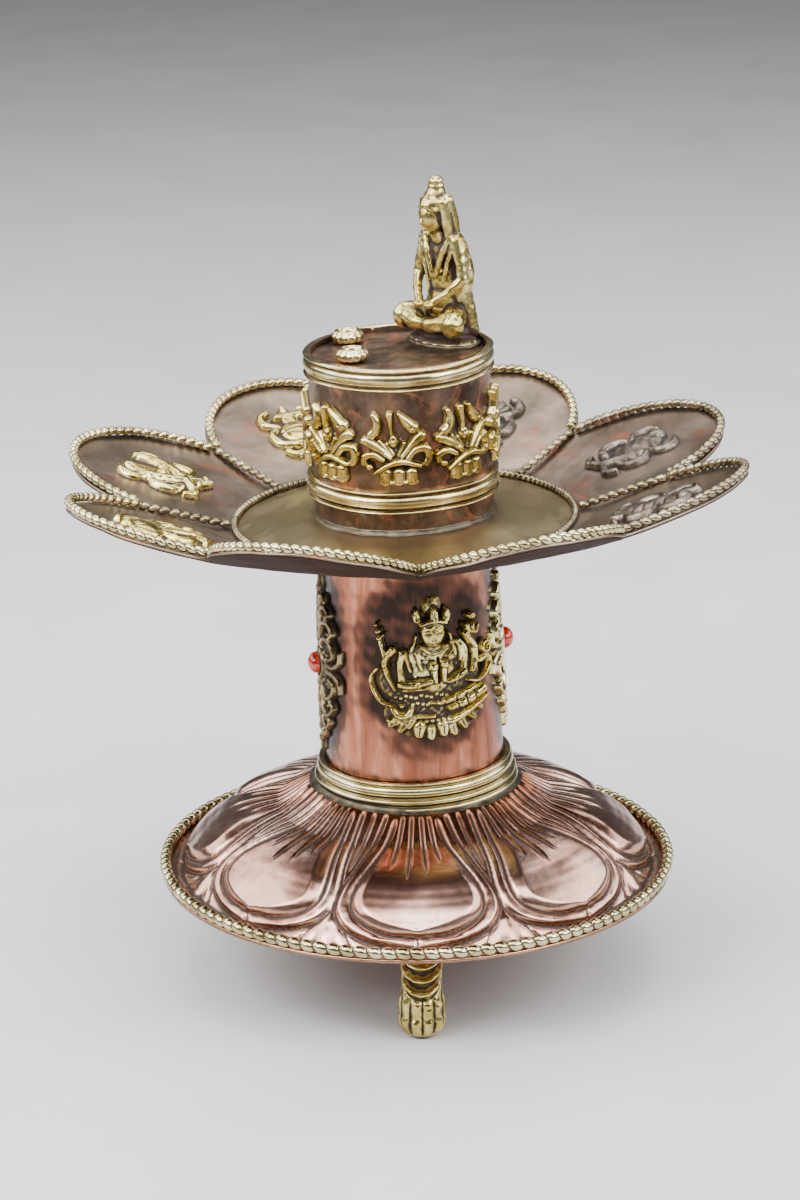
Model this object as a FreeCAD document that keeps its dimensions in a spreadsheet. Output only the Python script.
import FreeCAD, Part
import Sketcher
import math
import os

# Incense stand of soldered copper sheet and cast brass: a round domed base on three paw feet, a tapering
# column with four applied plaques, an eight-petalled lotus dish, and a drum that carries two incense cups
# and a small seated figure.  Millimetres, +Z up, front towards -Y, origin on the floor under the base's centre.
#
# Everything above the base is built square in the column's own frame (origin at the column's foot) and
# then leans a little to the left as one group, as the soldered original does.

DIMENSIONS = [
    # the base
    ("rim_r", 60.0),                # centre line of the base's beaded wire
    ("rim_z", 27.5),                # its height above the floor
    ("rim_wire_r", 1.4),
    ("sheet", 0.8),                 # thickness of the copper sheet
    ("flange_edge_r", 60.7),        # the flat flange under the wire
    ("shoulder_r", 56.3),           # where the dome meets the flange
    ("waist_r", 33.0),              # where the dome turns from hollow to round
    ("waist_z", 41.8),
    ("neck_r", 24.6),               # flat land that the column stands on
    ("neck_z", 47.3),
    ("neck_hole_r", 18.0),
    ("hollow_arc_r", 40.0),
    ("round_arc_r", 47.0),
    ("dome_drop", 1.0),             # thickness of the dome measured straight down
    # the feet
    ("foot_circle_r", 42.5),
    ("sole_r", 4.4),
    ("paw_r", 5.5),
    ("paw_z", 3.6),
    ("ankle_r", 4.8),
    ("ankle_z", 15.0),
    ("thigh_r", 5.8),
    ("thigh_z", 27.0),
    # the column
    ("lean_angle", 1.5),
    ("column_foot_r", 21.2),
    ("column_head_r", 19.5),
    ("column_top", 65.4),           # heights from here on are above the column's foot
    ("trim", 1.2),                  # extra length that is cut off level with the neck
    ("collar_top", 6.4),
    ("collar_ridge_r", 23.3),
    ("collar_ridge_top", 1.7),
    ("collar_ridge_arc_r", 1.6),
    ("collar_body_r", 22.1),
    ("collar_body_foot", 1.8),
    ("collar_body_top", 4.6),
    ("collar_body_arc_r", 2.2),
    ("collar_lip_r", 21.8),
    ("collar_lip_foot", 4.8),
    ("collar_lip_arc_r", 0.85),
    ("solder_w", 2.0),
    ("solder_rise", 1.2),
    ("solder_arc_r", 2.4),
    # the column's plaques
    ("deity_centre", 32.9),
    ("deity_depth", 3.0),
    ("cartouche_w", 11.6),
    ("cartouche_rise", 22.0),
    ("cartouche_arc_r", 26.0),
    ("cartouche_depth", 1.8),
    ("left_cartouche_z", 30.7),
    ("right_cartouche_z", 33.1),
    ("plate_reach", 32.0),          # from the axis to beyond every plaque's face
    ("coral_r", 2.6),
    ("coral_depth", 2.3),
    # the dish
    ("disc_top", 63.7),
    ("disc_rise", 2.5),
    ("disc_flat_r", 24.2),
    ("disc_edge_r", 39.0),
    ("disc_apothem", 40.9),
    ("cusp_r", 62.2),               # where two petals meet, measured from the axis
    ("cusp_rise", 6.3),
    ("lobe_length", 25.6),
    ("lobe_tip_arc_r", 21.0),
    ("ring_r", 39.6),
    ("ring_wire_r", 0.8),
    ("petal_wire_r", 1.1),
    ("divider_wire_r", 0.9),
    ("emblem_l", 11.0),             # half its length, outwards
    ("emblem_w", 8.0),              # half its width, along the chord between two cusps
    ("emblem_h", 2.6),
    ("emblem_offset", 3.5),         # from that chord to the emblem's centre
    # the drum
    ("drum_r", 20.9),
    ("drum_top", 105.1),
    ("drum_recess", 1.5),
    ("lower_band_foot", 71.3),
    ("lower_band_depth", 1.7),
    ("upper_band_foot", 99.8),
    ("upper_band_depth", 1.0),
    ("band_h", 5.3),
    ("band_ridge_arc_r", 0.9),
    ("band_middle_arc_r", 1.9),
    ("palmette_foot", 78.6),
    ("palmette_stem", 3.6),
    ("palmette_stem_top", 3.2),
    ("palmette_w", 7.7),
    ("palmette_shoulder", 5.4),
    ("palmette_side", 10.2),
    ("palmette_depth", 2.0),
    ("cup_r", 3.9),
    ("cup_bore_r", 2.0),
    ("cup_h", 3.0),
    # the seated figure
    ("plinth_w", 10.0),
    ("plinth_d", 5.4),
    ("plinth_h", 3.4),
    ("lap_w", 10.6),
    ("lap_d", 6.0),
    ("lap_h", 3.6),
    ("plinth_arc_r", 12.5),
    ("waist_thick", 3.7),
    ("chest_thick", 5.1),
    ("shoulder_h", 25.0),
    ("neck_thick", 2.0),
    ("head_r", 4.1),
    ("head_h", 30.0),
    ("head_forward", 2.6),
    ("figure_h", 39.0),
]

# Tilt of each petal's outer lobe in degrees, counter-clockwise from the right-hand petal: the sheet was
# raised by hand, so the front petals stand steeper than those at the back.
LOBE_TILT = [15.5, 17.5, 16.0, 17.0, 20.0, 24.5, 22.5, 20.5]
PETALS = len(LOBE_TILT)
PETAL_STEP = 360.0 / PETALS
PETAL_START = 25.5                  # azimuth of the right-hand petal's middle

DEITY_AZIMUTHS = {"front_deity_plaque": -76.0, "rear_deity_plaque": 98.0}
CARTOUCHES = {"left": (190.0, "Dims.left_cartouche_z"), "right": (5.0, "Dims.right_cartouche_z")}
EMBLEMS = ["conch", "lotus", "treasure_vase", "golden_fish", "parasol", "wheel", "endless_knot", "banner"]
FOOT_AZIMUTHS = {"front_foot": -89.0, "right_rear_foot": 31.0, "left_rear_foot": 151.0}
PALMETTE_START = -94.0
CUP_PLACES = {"rear_incense_cup": (-11.6, 10.9), "front_incense_cup": (-10.4, -6.3)}
FIGURE_PLACE = (10.6, 9.2)
FIGURE_FACING = 222.0               # azimuth that the figure looks towards

doc = FreeCAD.newDocument("IncenseStand")
sheet = doc.addObject("Spreadsheet::Sheet", "Dims")
for row, (alias, size) in enumerate(DIMENSIONS, start=1):
    sheet.set("A%d" % row, alias)
    sheet.set("B%d" % row, str(size))
    sheet.setAlias("B%d" % row, alias)
doc.recompute()

Z_AXIS = FreeCAD.Vector(0, 0, 1)
parts = []


def size_of(alias):
    """The number in the cell with this alias."""
    return float(getattr(sheet, alias))


def worked_out(expression):
    """The value of an expression in the sheet's terms, such as 'Dims.rim_r + 2'."""
    return float(sheet.evalExpression(expression))


def turned(azimuth, offset=(0, 0, 0)):
    """A placement turned about +Z by azimuth degrees, after a shift by offset."""
    spin = FreeCAD.Placement(FreeCAD.Vector(), FreeCAD.Rotation(Z_AXIS, azimuth))
    return spin.multiply(FreeCAD.Placement(FreeCAD.Vector(*offset), FreeCAD.Rotation()))


def tilted(azimuth, outward, height, tilt):
    """A frame on the dish: +X along the petal's chord, +Y outward and up the slope, +Z off the sheet."""
    spin = FreeCAD.Placement(FreeCAD.Vector(), FreeCAD.Rotation(Z_AXIS, azimuth - 90.0))
    slope = FreeCAD.Rotation(FreeCAD.Vector(1, 0, 0), tilt)
    return spin.multiply(FreeCAD.Placement(FreeCAD.Vector(0, outward, height), slope))


FLOOR_FRAME = FreeCAD.Placement()
UPPER_FRAME = FreeCAD.Placement(
    FreeCAD.Vector(0, 0, size_of("neck_z")),
    FreeCAD.Rotation(FreeCAD.Vector(0, 1, 0), -size_of("lean_angle")),
)


def keep(part, label, frame):
    """Register a finished sub-part: its label names its file, and its frame goes before its placement."""
    part.Label = label
    part.Placement = frame.multiply(part.Placement)
    parts.append(part)
    return part


def bind(owner, **expressions):
    """Tie properties of an object to expressions in the sheet's terms."""
    for name, expression in expressions.items():
        owner.setExpression(name, expression)
    return owner


def make(kind, name, **expressions):
    return bind(doc.addObject(kind, name), **expressions)


def origin_plane(body, role):
    return next(o for o in body.Origin.OriginFeatures if o.Role == role)


def draw_outline(sketch, corners, closed=True):
    """Draw an outline through corners given as (x, y) expressions.

    A corner may add (radius, bend): the side after it is then an arc of that radius, which bulges to the
    left of the way the outline runs when bend is +1 and to its right when bend is -1.
    """
    points = [FreeCAD.Vector(worked_out(c[0]), worked_out(c[1]), 0) for c in corners]
    count = len(corners) if closed else len(corners) - 1
    ends = []
    for i in range(count):
        a, b = points[i], points[(i + 1) % len(points)]
        if len(corners[i]) == 2:
            line = sketch.addGeometry(Part.LineSegment(a, b))
            ends.append((line, 1, 2))
            continue
        radius, bend = worked_out(corners[i][2]), corners[i][3]
        run = b - a
        left = FreeCAD.Vector(-run.y, run.x, 0).normalize()
        rise = math.sqrt(radius ** 2 - (run.Length / 2) ** 2)
        centre = (a + b) * 0.5 - left * (bend * rise)
        first, last = (b, a) if bend > 0 else (a, b)
        start = math.atan2(first.y - centre.y, first.x - centre.x)
        stop = math.atan2(last.y - centre.y, last.x - centre.x)
        if stop < start:
            stop += 2 * math.pi
        arc = sketch.addGeometry(Part.ArcOfCircle(Part.Circle(centre, Z_AXIS, radius), start, stop))
        ends.append((arc, 2, 1) if bend > 0 else (arc, 1, 2))
        tie(sketch, Sketcher.Constraint("Radius", arc, radius), corners[i][2])
    for i in range(count):
        side, start_end, stop_end = ends[i]
        if closed or i + 1 < count:
            following = ends[(i + 1) % count]
            sketch.addConstraint(Sketcher.Constraint("Coincident", side, stop_end, following[0], following[1]))
        pin_point(sketch, side, start_end, corners[i], points[i])
    if not closed:
        pin_point(sketch, ends[-1][0], ends[-1][2], corners[-1], points[-1])


def tie(sketch, constraint, expression):
    index = sketch.addConstraint(constraint)
    sketch.setExpression("Constraints[%d]" % index, expression)


def pin_point(sketch, side, end, corner, point):
    """Hold one end of a side at the corner's two distances from the sketch's origin."""
    tie(sketch, Sketcher.Constraint("DistanceX", -1, 1, side, end, point.x), corner[0])
    tie(sketch, Sketcher.Constraint("DistanceY", -1, 1, side, end, point.y), corner[1])


def revolved(name, corners):
    """A body turned about +Z from a closed outline of (radius, height) corners."""
    body = doc.addObject("PartDesign::Body", name)
    sketch = body.newObject("Sketcher::SketchObject", name + "_outline")
    sketch.AttachmentSupport = [(origin_plane(body, "XZ_Plane"), "")]
    sketch.MapMode = "FlatFace"
    draw_outline(sketch, corners)
    turn = body.newObject("PartDesign::Revolution", name + "_turn")
    turn.Profile = sketch
    turn.ReferenceAxis = (sketch, ["V_Axis"])
    turn.Angle = 360.0
    body.Tip = turn
    return body


def flat_sketch(name, corners, placement):
    """A sketch that stands free of any body, in its own plane."""
    sketch = doc.addObject("Sketcher::SketchObject", name)
    sketch.Placement = placement
    draw_outline(sketch, corners)
    return sketch


def extruded(name, sketch, direction, length):
    solid = make("Part::Extrusion", name, LengthFwd=length)
    solid.Base = sketch
    solid.DirMode = "Custom"
    solid.Dir = FreeCAD.Vector(*direction)
    solid.Solid = True
    return solid


def boolean(kind, name, base, tool):
    result = doc.addObject(kind, name)
    result.Base = base
    result.Tool = tool
    return result


def fused(name, pieces):
    result = doc.addObject("Part::MultiFuse", name)
    result.Shapes = pieces
    result.Refine = True
    return result


def tube(name, radius, wall, foot, height):
    """A cylinder shell about +Z, radius being its outer one."""
    outer = make("Part::Cylinder", name + "_outer", Radius=radius, Height=height)
    inner = make("Part::Cylinder", name + "_inner", Radius="%s - %s" % (radius, wall), Height=height)
    for cylinder in (outer, inner):
        bind(cylinder, **{"Placement.Base.z": foot})
    return boolean("Part::Cut", name, outer, inner)


def wire_ring(name, radius, wire_radius, height):
    ring = make("Part::Torus", name, Radius1=radius, Radius2=wire_radius)
    ring.Placement.Base.z = worked_out(height)
    return ring


# ---------------------------------------------------------------------------------------------------
# The base: a dome of thin sheet with a flat flange, its beaded wire and three paw feet.

UNDERSIDE = [
    ("Dims.flange_edge_r", "Dims.rim_z - Dims.rim_wire_r - Dims.sheet"),
    ("Dims.shoulder_r - Dims.sheet", "Dims.rim_z - Dims.rim_wire_r - Dims.sheet", "Dims.round_arc_r", -1),
    ("Dims.waist_r", "Dims.waist_z - Dims.dome_drop", "Dims.hollow_arc_r", 1),
    ("Dims.neck_r", "Dims.neck_z - Dims.dome_drop"),
]


def base_dome():
    return revolved("base_dome", [
        ("Dims.neck_r", "Dims.neck_z", "Dims.hollow_arc_r", -1),
        ("Dims.waist_r", "Dims.waist_z", "Dims.round_arc_r", 1),
        ("Dims.shoulder_r", "Dims.rim_z - Dims.rim_wire_r"),
        ("Dims.flange_edge_r", "Dims.rim_z - Dims.rim_wire_r"),
    ] + UNDERSIDE + [
        ("Dims.neck_hole_r", "Dims.neck_z - Dims.dome_drop"),
        ("Dims.neck_hole_r", "Dims.neck_z"),
    ])


def base_rim_wire():
    return wire_ring("base_rim_wire", "Dims.rim_r", "Dims.rim_wire_r", "Dims.rim_z")


def foot(name, azimuth, above_dome):
    """A paw foot, turned about its own axis and cut off where it meets the dome's underside."""
    leg = revolved(name + "_leg", [
        ("0", "0"),
        ("Dims.sole_r", "0", "Dims.paw_r", -1),
        ("Dims.paw_r", "Dims.paw_z"),
        ("Dims.paw_r", "Dims.paw_z * 2"),
        ("Dims.ankle_r", "Dims.ankle_z"),
        ("Dims.thigh_r", "Dims.thigh_z"),
        ("Dims.thigh_r", "Dims.neck_z"),
        ("0", "Dims.neck_z"),
    ])
    leg.Placement = turned(azimuth, (size_of("foot_circle_r"), 0, 0))
    return boolean("Part::Cut", name, leg, above_dome)


def build_base():
    keep(base_dome(), "base_dome", FLOOR_FRAME)
    keep(base_rim_wire(), "base_rim_wire", FLOOR_FRAME)
    ceiling = "Dims.neck_z + Dims.rim_z"
    above_dome = revolved("above_dome", UNDERSIDE + [
        ("Dims.neck_hole_r", "Dims.neck_z - Dims.dome_drop"),
        ("Dims.neck_hole_r", ceiling),
        ("Dims.flange_edge_r", ceiling),
    ])
    for name, azimuth in FOOT_AZIMUTHS.items():
        keep(foot(name, azimuth, above_dome), name, FLOOR_FRAME)


# ---------------------------------------------------------------------------------------------------
# The column and its collar stand level on the dome's neck although they lean.

def below_neck():
    """The space under the neck's level, in the leaning frame."""
    block = make("Part::Box", "below_neck", Length="Dims.rim_r", Width="Dims.rim_r", Height="Dims.rim_z")
    corner = FreeCAD.Vector(-size_of("rim_r") / 2, -size_of("rim_r") / 2, size_of("neck_z") - size_of("rim_z"))
    block.Placement = UPPER_FRAME.inverse().multiply(FreeCAD.Placement(corner, FreeCAD.Rotation()))
    return block


def column_tube(below):
    skins = []
    for name, inset in (("outer", ""), ("inner", " - Dims.sheet")):
        skin = make("Part::Cone", "column_" + name, Radius1="Dims.column_foot_r" + inset,
                    Radius2="Dims.column_head_r" + inset, Height="Dims.column_top + Dims.trim",
                    **{"Placement.Base.z": "-Dims.trim"})
        skins.append(skin)
    shell = boolean("Part::Cut", "column_shell", *skins)
    return boolean("Part::Cut", "column_tube", shell, below)


def column_collar(below):
    """Three ridges: a thin lip, a broad middle and a heavier foot."""
    ring = revolved("collar_ring", [
        ("Dims.column_foot_r", "-Dims.trim"),
        ("Dims.collar_ridge_r", "-Dims.trim", "Dims.collar_ridge_arc_r", -1),
        ("Dims.collar_ridge_r", "Dims.collar_ridge_top"),
        ("Dims.collar_body_r", "Dims.collar_body_foot", "Dims.collar_body_arc_r", -1),
        ("Dims.collar_body_r", "Dims.collar_body_top"),
        ("Dims.collar_lip_r", "Dims.collar_lip_foot", "Dims.collar_lip_arc_r", -1),
        ("Dims.collar_lip_r", "Dims.collar_top"),
        ("Dims.column_foot_r", "Dims.collar_top"),
    ])
    return boolean("Part::Cut", "column_collar", ring, below)


def solder_fillet(name, radius, level, direction):
    """A ring of solder in the corner between a wall of this radius and a level above or below it."""
    return revolved(name, [
        (radius, level),
        ("%s + Dims.solder_w" % radius, level, "Dims.solder_arc_r", direction),
        (radius, "%s + Dims.solder_rise * %d" % (level, direction)),
    ])


def build_column():
    below = below_neck()
    keep(column_tube(below), "column_tube", UPPER_FRAME)
    keep(column_collar(below), "column_collar", UPPER_FRAME)
    keep(solder_fillet("column_head_solder", "(Dims.column_head_r + 0.04)", "Dims.column_top", -1),
         "column_head_solder", UPPER_FRAME)


# ---------------------------------------------------------------------------------------------------
# Plaques: cast plates bent round the column, cut from a shell of their own depth.

def mirrored(right_side):
    """Complete an outline that starts and ends on the axis from its right-hand corners, going up."""
    left_side = [("-(%s)" % x, y) for x, y in reversed(right_side)]
    return right_side + left_side


DEITY_RIGHT = [
    ("8.0", "-17.5"), ("13.9", "-11.5"), ("14.5", "-2.0"), ("14.1", "7.5"), ("11.0", "11.5"),
    ("6.8", "8.5"), ("5.2", "13.5"), ("2.8", "18.3"),
]
CARTOUCHE = [
    ("0", "-Dims.cartouche_rise", "Dims.cartouche_arc_r", -1),
    ("Dims.cartouche_w", "0", "Dims.cartouche_arc_r", -1),
    ("0", "Dims.cartouche_rise", "Dims.cartouche_arc_r", -1),
    ("-Dims.cartouche_w", "0", "Dims.cartouche_arc_r", -1),
]


def column_skin(name, proud):
    """The column's outer surface as a solid cone, moved out by proud."""
    return make("Part::Cone", name, Radius1="Dims.column_foot_r + " + proud,
                Radius2="Dims.column_head_r + " + proud, Height="Dims.column_top")


def drum_skin(name, proud):
    return make("Part::Cylinder", name, Radius="Dims.drum_r + " + proud, Height="Dims.drum_top")


def curved_plate(name, corners, centre, skin, depth):
    """A plate bent round a wall about +Z, facing -Y; skin makes the wall's surface at a given depth."""
    upright = FreeCAD.Rotation(FreeCAD.Vector(1, 0, 0), 90)
    place = FreeCAD.Placement(FreeCAD.Vector(0, 0, worked_out(centre)), upright)
    outline = flat_sketch(name + "_outline", corners, place)
    block = extruded(name + "_block", outline, (0, -1, 0), "Dims.plate_reach")
    shell = boolean("Part::Cut", name + "_shell", skin(name + "_outer", depth), skin(name + "_inner", "0"))
    return boolean("Part::Common", name, shell, block)


def coral(name, azimuth, height):
    """A cabochon with its back cut to the cartouche's curved face."""
    taper = (size_of("column_foot_r") - size_of("column_head_r")) / size_of("column_top")
    face_r = size_of("column_foot_r") + size_of("cartouche_depth") - taper * height
    bead = make("Part::Ellipsoid", name + "_bead", Radius1="Dims.coral_depth", Radius2="Dims.coral_r",
                Radius3="Dims.coral_r")
    facing_out = FreeCAD.Rotation(FreeCAD.Vector(0, 1, 0), 90)
    bead.Placement = turned(azimuth).multiply(FreeCAD.Placement(FreeCAD.Vector(face_r, 0, height), facing_out))
    return boolean("Part::Cut", name, bead, column_skin(name + "_back", "Dims.cartouche_depth"))


def build_plaques():
    for name, azimuth in DEITY_AZIMUTHS.items():
        plate = curved_plate(name, mirrored(DEITY_RIGHT), "Dims.deity_centre", column_skin, "Dims.deity_depth")
        plate.Placement = turned(azimuth + 90)
        keep(plate, name, UPPER_FRAME)
    for side, (azimuth, centre) in CARTOUCHES.items():
        plate = curved_plate(side + "_cartouche", CARTOUCHE, centre, column_skin, "Dims.cartouche_depth")
        plate.Placement = turned(azimuth + 90)
        keep(plate, side + "_cartouche", UPPER_FRAME)
        keep(coral(side + "_coral", azimuth, worked_out(centre)), side + "_coral", UPPER_FRAME)


# ---------------------------------------------------------------------------------------------------
# The dish: a slightly raised disc, eight facets that rise to the cusps and eight round lobes.

HALF_STEP = "%g deg" % (PETAL_STEP / 2)
CHORD_W = "Dims.cusp_r * sin(%s)" % HALF_STEP
CHORD_OUT = "Dims.cusp_r * cos(%s)" % HALF_STEP
FACET_W = "Dims.disc_apothem * tan(%s)" % HALF_STEP
FACET_RUN = "(%s - Dims.disc_apothem)" % CHORD_OUT
FACET_LENGTH = "sqrt(%s * %s + Dims.cusp_rise * Dims.cusp_rise)" % (FACET_RUN, FACET_RUN)


def arch(half_width, length):
    """A three-centred arch on its chord: two side arcs and a tip arc that meet in tangents."""
    tip_r = "Dims.lobe_tip_arc_r"
    tip_centre = "(%s - %s)" % (length, tip_r)
    side_r = "((%s)^2 + %s^2 - %s^2) / (2 * (%s - %s))" % (half_width, tip_centre, tip_r, half_width, tip_r)
    meet_x = "%s / (%s - %s) * (%s - %s)" % (tip_r, side_r, tip_r, side_r, half_width)
    meet_y = "%s * (%s) / (%s - %s)" % (tip_centre, side_r, side_r, tip_r)
    return [
        (half_width, "0", side_r, -1),
        (meet_x, meet_y, tip_r, -1),
        ("-(%s)" % meet_x, meet_y, side_r, -1),
        ("-(%s)" % half_width, "0"),
    ]


# The wires of two neighbours lie side by side where they meet at a cusp.
LOBE_EDGE = arch(CHORD_W, "Dims.lobe_length")
WIRE_W = "(%s - Dims.petal_wire_r * 1.12)" % CHORD_W
WIRE_LINE = arch(WIRE_W, "(Dims.lobe_length - Dims.petal_wire_r * 0.4)")


def petal_azimuth(k):
    return PETAL_START + k * PETAL_STEP


def lobe_frame(k, lift=0.0):
    """The frame of petal k's lobe, on its chord, lifted off the sheet."""
    frame = tilted(petal_azimuth(k), worked_out(CHORD_OUT), size_of("disc_top") + size_of("cusp_rise"),
                   LOBE_TILT[k])
    return frame.multiply(FreeCAD.Placement(FreeCAD.Vector(0, 0, lift), FreeCAD.Rotation()))


def dish_centre():
    """The raised disc inside an eight-sided margin."""
    disc = revolved("dish_disc", [
        ("0", "Dims.disc_top + Dims.disc_rise"),
        ("0", "Dims.disc_top + Dims.disc_rise - Dims.sheet"),
        ("Dims.disc_flat_r", "Dims.disc_top + Dims.disc_rise - Dims.sheet"),
        ("Dims.disc_edge_r", "Dims.disc_top - Dims.sheet"),
        ("Dims.disc_edge_r", "Dims.disc_top"),
        ("Dims.disc_flat_r", "Dims.disc_top + Dims.disc_rise"),
    ])
    octagon = make("Part::Prism", "dish_margin_plate", Circumradius="Dims.disc_apothem / cos(%s)" % HALF_STEP,
                   Height="Dims.sheet")
    octagon.Polygon = PETALS
    octagon.Placement = turned(petal_azimuth(0) + PETAL_STEP / 2, (0, 0, size_of("disc_top") - size_of("sheet")))
    hole = make("Part::Cylinder", "dish_margin_hole", Radius="Dims.disc_edge_r", Height="Dims.column_top * 2")
    return [disc, boolean("Part::Cut", "dish_margin", octagon, hole)]


def petal_sheet(k):
    """The facet and the lobe of petal k, both as thick as the sheet straight down."""
    steepness = math.degrees(math.atan2(size_of("cusp_rise"), worked_out(FACET_RUN)))
    facet_frame = tilted(petal_azimuth(k), size_of("disc_apothem"), size_of("disc_top"), steepness)
    facet = flat_sketch("facet_%d" % k, [
        (FACET_W, "0"), (CHORD_W, FACET_LENGTH), ("-(%s)" % CHORD_W, FACET_LENGTH), ("-(%s)" % FACET_W, "0"),
    ], facet_frame)
    lobe = flat_sketch("lobe_%d" % k, LOBE_EDGE, lobe_frame(k))
    return [extruded("facet_%d_sheet" % k, facet, (0, 0, -1), "Dims.sheet"),
            extruded("lobe_%d_sheet" % k, lobe, (0, 0, -1), "Dims.sheet")]


def petal_wire(k):
    """A round wire along the edge of petal k's lobe, lying on the sheet."""
    name = "petal_wire_%d" % (k + 1)
    body = doc.addObject("PartDesign::Body", name)
    path = body.newObject("Sketcher::SketchObject", name + "_path")
    path.AttachmentSupport = [(origin_plane(body, "XY_Plane"), "")]
    path.MapMode = "FlatFace"
    draw_outline(path, WIRE_LINE, closed=False)
    ring = body.newObject("Sketcher::SketchObject", name + "_section")
    ring.AttachmentSupport = [(origin_plane(body, "XZ_Plane"), "")]
    ring.MapMode = "FlatFace"
    start = FreeCAD.Vector(worked_out(WIRE_W), 0, 0)
    circle = ring.addGeometry(Part.Circle(start, Z_AXIS, size_of("petal_wire_r")))
    tie(ring, Sketcher.Constraint("Radius", circle, size_of("petal_wire_r")), "Dims.petal_wire_r")
    tie(ring, Sketcher.Constraint("DistanceX", -1, 1, circle, 3, start.x), WIRE_W)
    ring.addConstraint(Sketcher.Constraint("PointOnObject", circle, 3, -1))
    pipe = body.newObject("PartDesign::AdditivePipe", name + "_pipe")
    pipe.Profile = ring
    pipe.Spine = path
    body.Tip = pipe
    body.Placement = lobe_frame(k, size_of("petal_wire_r") * 1.02)
    return body


def divider_wire(k):
    """A straight wire in the valley between petals k and k + 1, from the cusp down to the disc."""
    run = size_of("cusp_r") - worked_out("Dims.disc_apothem / cos(%s)" % HALF_STEP)
    rise = size_of("cusp_rise")
    climb = math.degrees(math.atan2(rise, run))
    wire = make("Part::Cylinder", "divider_%d" % k, Radius="Dims.divider_wire_r")
    wire.Height = math.hypot(run, rise) - 3 * size_of("divider_wire_r")
    frame = tilted(petal_azimuth(k) + PETAL_STEP / 2, size_of("cusp_r") - run, size_of("disc_top"), climb)
    lie_down = FreeCAD.Rotation(FreeCAD.Vector(1, 0, 0), -90)
    lift = size_of("divider_wire_r") * 1.03
    wire.Placement = frame.multiply(FreeCAD.Placement(FreeCAD.Vector(0, 0, lift), lie_down))
    return wire


def emblem(k, dish):
    """A cast medallion that lies across petal k's fold, its back cut to the sheet."""
    name = EMBLEMS[k] + "_emblem"
    blank = make("Part::Ellipsoid", name + "_blank", Radius1="Dims.emblem_h", Radius2="Dims.emblem_l",
                 Radius3="Dims.emblem_w")
    shift = FreeCAD.Placement(FreeCAD.Vector(0, size_of("emblem_offset"), 0), FreeCAD.Rotation(Z_AXIS, 90))
    blank.Placement = lobe_frame(k).multiply(shift)
    face = blank
    for half in ("lobe", "facet"):
        under = extruded("%s_under_%s" % (name, half), doc.getObject("%s_%d" % (half, k)), (0, 0, -1),
                         "Dims.cusp_rise")
        face = boolean("Part::Cut", "%s_above_%s" % (name, half), face, under)
    return boolean("Part::Cut", name, face, dish)


def build_dish():
    sheets = dish_centre()
    for k in range(PETALS):
        sheets += petal_sheet(k)
    dish = fused("dish", sheets)
    for k in range(PETALS):
        keep(petal_wire(k), "petal_wire_%d" % (k + 1), UPPER_FRAME)
        keep(emblem(k, dish), EMBLEMS[k] + "_emblem", UPPER_FRAME)
    ring = wire_ring("dish_ring_wire", "Dims.ring_r", "Dims.ring_wire_r", "Dims.disc_top + Dims.ring_wire_r * 1.03")
    keep(ring, "dish_ring_wire", UPPER_FRAME)
    dividers = doc.addObject("Part::Compound", "divider_wires")
    dividers.Links = [divider_wire(k) for k in range(PETALS)]
    keep(dividers, "divider_wires", UPPER_FRAME)
    doc.recompute()
    keep(dish, "dish", UPPER_FRAME)


# ---------------------------------------------------------------------------------------------------
# The drum: a closed copper drum with two ridged bands, eight palmettes, two cups and the figure.

def ridged_band(name, foot, depth):
    """A band with a broad rounded middle between two thin ridges."""
    edge = "Dims.drum_r + %s * 0.55" % depth
    low, high = "%s + Dims.band_h * 0.24" % foot, "%s + Dims.band_h * 0.76" % foot
    return revolved(name, [
        ("Dims.drum_r", foot),
        (edge, foot, "Dims.band_ridge_arc_r", -1),
        (edge, low, "Dims.band_middle_arc_r", -1),
        (edge, high, "Dims.band_ridge_arc_r", -1),
        (edge, "%s + Dims.band_h" % foot),
        ("Dims.drum_r", "%s + Dims.band_h" % foot),
    ])


def palmette(name):
    """A rounded leaf shape on a narrow crown."""
    outline = [
        ("Dims.palmette_stem", "0"),
        ("Dims.palmette_stem", "Dims.palmette_stem_top"),
        ("Dims.palmette_w", "Dims.palmette_shoulder"),
        ("Dims.palmette_w", "Dims.palmette_side", "Dims.palmette_w + 0.02", -1),
        ("-Dims.palmette_w", "Dims.palmette_side"),
        ("-Dims.palmette_w", "Dims.palmette_shoulder"),
        ("-Dims.palmette_stem", "Dims.palmette_stem_top"),
        ("-Dims.palmette_stem", "0"),
    ]
    return curved_plate(name, outline, "Dims.palmette_foot", drum_skin, "Dims.palmette_depth")


def incense_cup(name, place):
    body = revolved(name, [
        ("Dims.cup_bore_r", "0"),
        ("Dims.cup_r * 0.86", "0", "Dims.cup_h", -1),
        ("Dims.cup_r * 0.9", "Dims.cup_h"),
        ("Dims.cup_bore_r", "Dims.cup_h"),
    ])
    level = size_of("drum_top") - size_of("drum_recess")
    body.Placement = FreeCAD.Placement(FreeCAD.Vector(place[0], place[1], level), FreeCAD.Rotation())
    return body


def ellipsoid(name, width, depth, height, centre):
    solid = make("Part::Ellipsoid", name, Radius1=height, Radius2=depth, Radius3=width)
    solid.Placement = FreeCAD.Placement(FreeCAD.Vector(*centre), FreeCAD.Rotation())
    return solid


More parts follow.
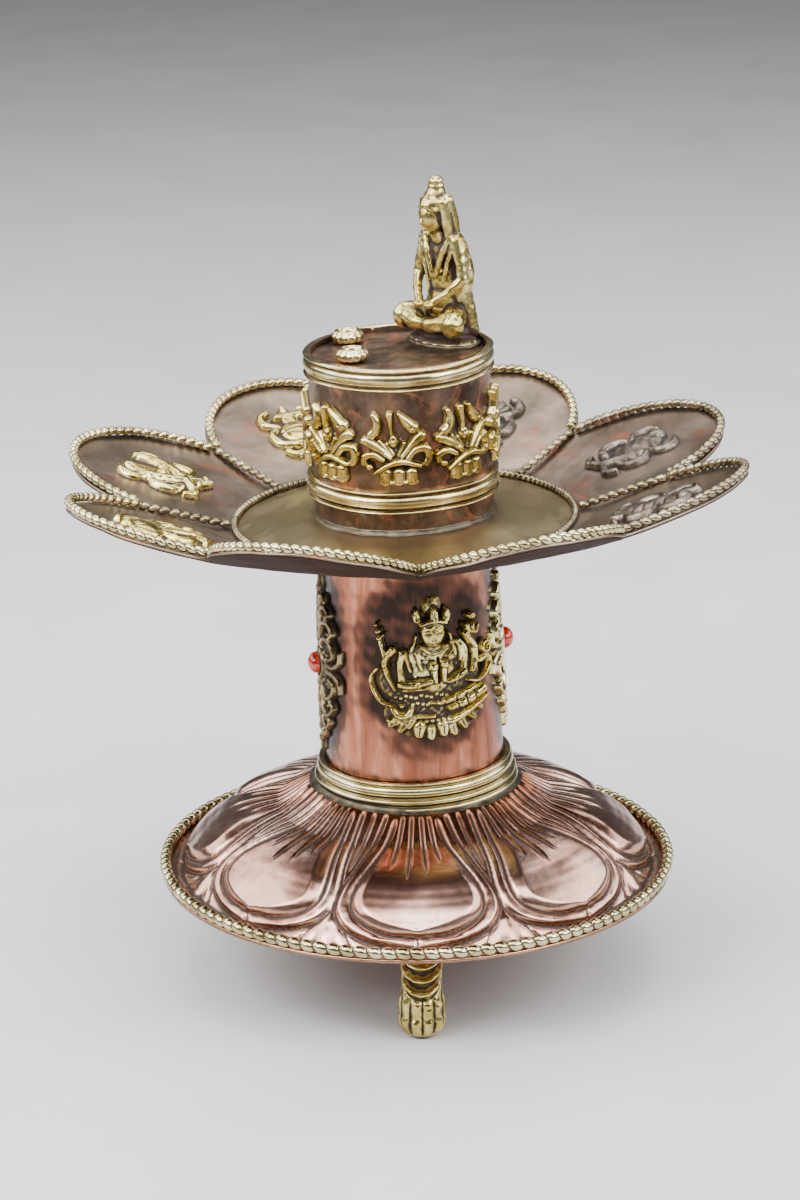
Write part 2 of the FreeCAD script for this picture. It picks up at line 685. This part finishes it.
def seated_figure():
    """A cross-legged figure on a low oval plinth; it faces +X in its own frame."""
    plinth_outline = flat_sketch("figure_plinth_outline", [
        ("0", "-Dims.plinth_w", "Dims.plinth_arc_r", -1),
        ("Dims.plinth_d", "0", "Dims.plinth_arc_r", -1),
        ("0", "Dims.plinth_w", "Dims.plinth_arc_r", -1),
        ("-Dims.plinth_d", "0", "Dims.plinth_arc_r", -1),
    ], FreeCAD.Placement())
    plinth = extruded("figure_plinth", plinth_outline, (0, 0, 1), "Dims.plinth_h")
    lap_z = size_of("plinth_h") + size_of("lap_h") * 0.6
    lap = ellipsoid("figure_lap", "Dims.lap_w", "Dims.lap_d", "Dims.lap_h", (1.0, 0, lap_z))
    chest = make("Part::Cone", "figure_chest", Radius1="Dims.waist_thick", Radius2="Dims.chest_thick",
                 Height="Dims.shoulder_h - Dims.plinth_h")
    chest.Placement.Base = FreeCAD.Vector(-0.4, 0, size_of("plinth_h"))
    crown = FreeCAD.Vector(size_of("head_forward"), 0, size_of("head_h"))
    head = make("Part::Sphere", "figure_head", Radius="Dims.head_r")
    head.Placement.Base = crown
    knot = make("Part::Cone", "figure_topknot", Radius1="Dims.head_r * 0.7", Radius2="Dims.head_r * 0.3",
                Height="Dims.figure_h - Dims.head_h - Dims.head_r * 0.3")
    knot.Placement.Base = crown + FreeCAD.Vector(0, 0, size_of("head_r") * 0.3)
    neck = make("Part::Cylinder", "figure_neck", Radius="Dims.neck_thick", Height="Dims.head_r * 1.9")
    neck.Placement.Base = crown - FreeCAD.Vector(size_of("neck_thick") * 0.7, 0, size_of("head_r") * 2)
    figure = fused("seated_figure", [plinth, lap, chest, neck, head, knot])
    level = size_of("drum_top") - size_of("drum_recess")
    figure.Placement = FreeCAD.Placement(FreeCAD.Vector(FIGURE_PLACE[0], FIGURE_PLACE[1], level),
                                         FreeCAD.Rotation(Z_AXIS, FIGURE_FACING))
    return figure


def build_drum():
    foot = "Dims.disc_top + Dims.disc_rise"
    wall = tube("drum_wall", "Dims.drum_r", "Dims.sheet", foot, "Dims.drum_top - (%s)" % foot)
    keep(wall, "drum_wall", UPPER_FRAME)
    lid = make("Part::Cylinder", "drum_lid", Radius="Dims.drum_r - Dims.sheet", Height="Dims.sheet")
    lid.Placement.Base.z = worked_out("Dims.drum_top - Dims.drum_recess - Dims.sheet")
    keep(lid, "drum_lid", UPPER_FRAME)
    keep(ridged_band("drum_lower_band", "Dims.lower_band_foot", "Dims.lower_band_depth"),
         "drum_lower_band", UPPER_FRAME)
    keep(ridged_band("drum_upper_band", "Dims.upper_band_foot", "Dims.upper_band_depth"),
         "drum_upper_band", UPPER_FRAME)
    keep(solder_fillet("drum_foot_solder", "Dims.drum_r", foot, 1), "drum_foot_solder", UPPER_FRAME)
    for k in range(PETALS):
        name = "drum_palmette_%d" % (k + 1)
        ornament = palmette(name)
        ornament.Placement = turned(PALMETTE_START + k * PETAL_STEP + 90)
        keep(ornament, name, UPPER_FRAME)
    for name, place in CUP_PLACES.items():
        keep(incense_cup(name, place), name, UPPER_FRAME)
    keep(seated_figure(), "seated_figure", UPPER_FRAME)


def check_model():
    """Stop before anything is written if an object failed or a shape isn't sound."""
    doc.recompute()
    for item in doc.Objects:
        if "Invalid" in item.State or "Error" in item.State:
            raise RuntimeError("%s failed: %s" % (item.Name, item.State))
    for part in parts:
        if part.Shape.isNull() or not part.Shape.isValid() or part.Shape.Volume < 0.5:
            raise RuntimeError("%s has no sound shape" % part.Label)


def write_parts():
    os.makedirs("parts", exist_ok=True)
    for part in parts:
        part.Shape.exportStep("parts/%s.step" % part.Label)


build_base()
build_column()
build_plaques()
build_dish()
build_drum()
check_model()
write_parts()
